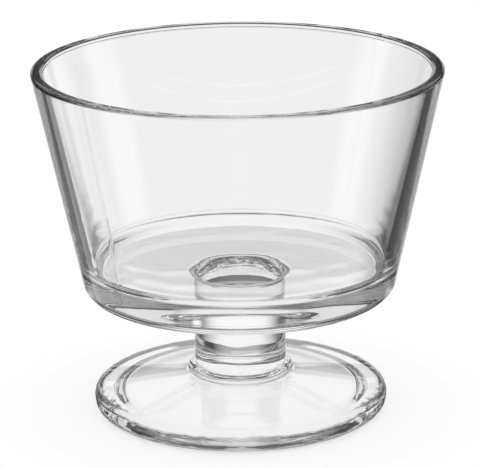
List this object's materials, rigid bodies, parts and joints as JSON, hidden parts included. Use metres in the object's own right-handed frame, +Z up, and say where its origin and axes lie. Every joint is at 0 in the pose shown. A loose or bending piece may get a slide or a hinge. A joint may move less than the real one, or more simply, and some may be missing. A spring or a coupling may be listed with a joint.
{
  "type": "dessert cup",
  "caption": "Clear glass dessert cup: a wide flared bowl with a thick base on a short solid stem and a round disc foot, for serving ice cream, fruit or pudding.",
  "frame": {"origin": "centre of the standing ring under the foot, on the table", "axes": "+Z up along the axis of the cup; the pictured front faces -Y"},
  "size_m": [0.12, 0.12, 0.1038],
  "materials": {
    "clear_glass": "clear colourless, pressed and fire polished"
  },
  "bodies": {
    "root": {"bowl": "clear_glass", "stem": "clear_glass", "foot": "clear_glass"}
  },
  "joints": []
}
